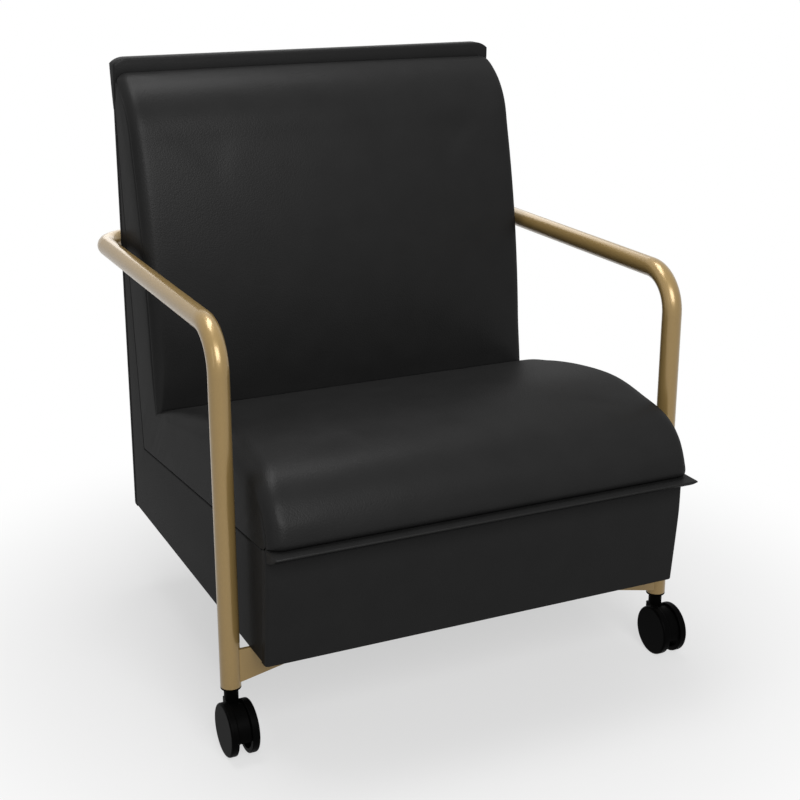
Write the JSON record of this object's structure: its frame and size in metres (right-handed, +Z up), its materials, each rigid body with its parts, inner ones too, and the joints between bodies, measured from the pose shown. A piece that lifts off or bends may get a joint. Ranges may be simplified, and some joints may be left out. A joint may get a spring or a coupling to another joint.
{
  "type": "lounge chair",
  "caption": "Low upholstered lounge chair with a rolled back, bullnose seat and leather shell, bent tube arms, front casters and rear legs.",
  "frame": {"origin": "on the floor, under the middle of the chair's box", "axes": "+X to the right as seen from the front, front towards -Y, +Z up"},
  "size_m": [0.7308, 0.7198, 0.8772],
  "materials": {
    "leather": "satin, fine grain",
    "foam": "open-cell foam",
    "gold_tube": "satin champagne gold powder coat",
    "wood": "sawn, unfinished",
    "webbing": "woven",
    "dust_cloth": "non-woven",
    "steel": "zinc plated",
    "black_metal": "satin",
    "black_plastic": "moulded nylon"
  },
  "bodies": {
    "chair": {"apron_cover": "leather", "back_board": "wood", "back_cover": "leather", "back_foam": "foam", "back_straps": "webbing", "cross_rail_bolts": "steel", "dust_cover": "dust_cloth", "front_blocks": "wood", "front_cross_rail": "gold_tube", "front_lip": "leather", "front_rail": "wood", "left_arm_tube": "gold_tube", "left_back_post": "wood", "left_caster_socket": "black_plastic", "left_glide": "black_plastic", "left_rear_leg": "black_metal", "left_side_cover": "leather", "left_side_rail": "wood", "leg_plates": "black_metal", "leg_screws": "steel", "outer_back_cover": "leather", "rear_bar": "gold_tube", "rear_bar_bolts": "steel", "rear_bar_rivet_nuts": "steel", "rear_bar_sleeves": "steel", "rear_bar_standoffs": "gold_tube", "rear_blocks": "wood", "rear_rail": "wood", "right_arm_tube": "gold_tube", "right_back_post": "wood", "right_caster_socket": "black_plastic", "right_glide": "black_plastic", "right_rear_leg": "black_metal", "right_side_cover": "leather", "right_side_rail": "wood", "seat_cover": "leather", "seat_foam": "foam", "seat_rail": "wood", "seat_straps_crosswise": "webbing", "seat_straps_lengthwise": "webbing", "top_lip": "leather"},
    "left_caster": {"left_caster_stem": "steel", "left_caster_washer": "steel", "left_caster_hood": "black_plastic", "left_caster_axle": "steel"},
    "left_inner_wheel": {"left_caster_inner_wheel": "black_plastic"},
    "left_outer_wheel": {"left_caster_outer_wheel": "black_plastic"},
    "right_caster": {"right_caster_stem": "steel", "right_caster_washer": "steel", "right_caster_hood": "black_plastic", "right_caster_axle": "steel"},
    "right_inner_wheel": {"right_caster_inner_wheel": "black_plastic"},
    "right_outer_wheel": {"right_caster_outer_wheel": "black_plastic"}
  },
  "joints": [
    {"name": "left_caster_swivel", "type": "hinge", "parent": "chair", "child": "left_caster", "pos_m": [-0.345, -0.2379, 0.08], "axis": [0, 0, 1], "continuous": true},
    {"name": "left_inner_wheel_spin", "type": "hinge", "parent": "left_caster", "child": "left_inner_wheel", "pos_m": [-0.345, -0.2593, 0.0375], "axis": [1, 0, 0], "continuous": true},
    {"name": "left_outer_wheel_spin", "type": "hinge", "parent": "left_caster", "child": "left_outer_wheel", "pos_m": [-0.345, -0.2593, 0.0375], "axis": [1, 0, 0], "continuous": true},
    {"name": "right_caster_swivel", "type": "hinge", "parent": "chair", "child": "right_caster", "pos_m": [0.345, -0.2379, 0.08], "axis": [0, 0, 1], "continuous": true},
    {"name": "right_inner_wheel_spin", "type": "hinge", "parent": "right_caster", "child": "right_inner_wheel", "pos_m": [0.345, -0.2593, 0.0375], "axis": [1, 0, 0], "continuous": true},
    {"name": "right_outer_wheel_spin", "type": "hinge", "parent": "right_caster", "child": "right_outer_wheel", "pos_m": [0.345, -0.2593, 0.0375], "axis": [1, 0, 0], "continuous": true}
  ]
}
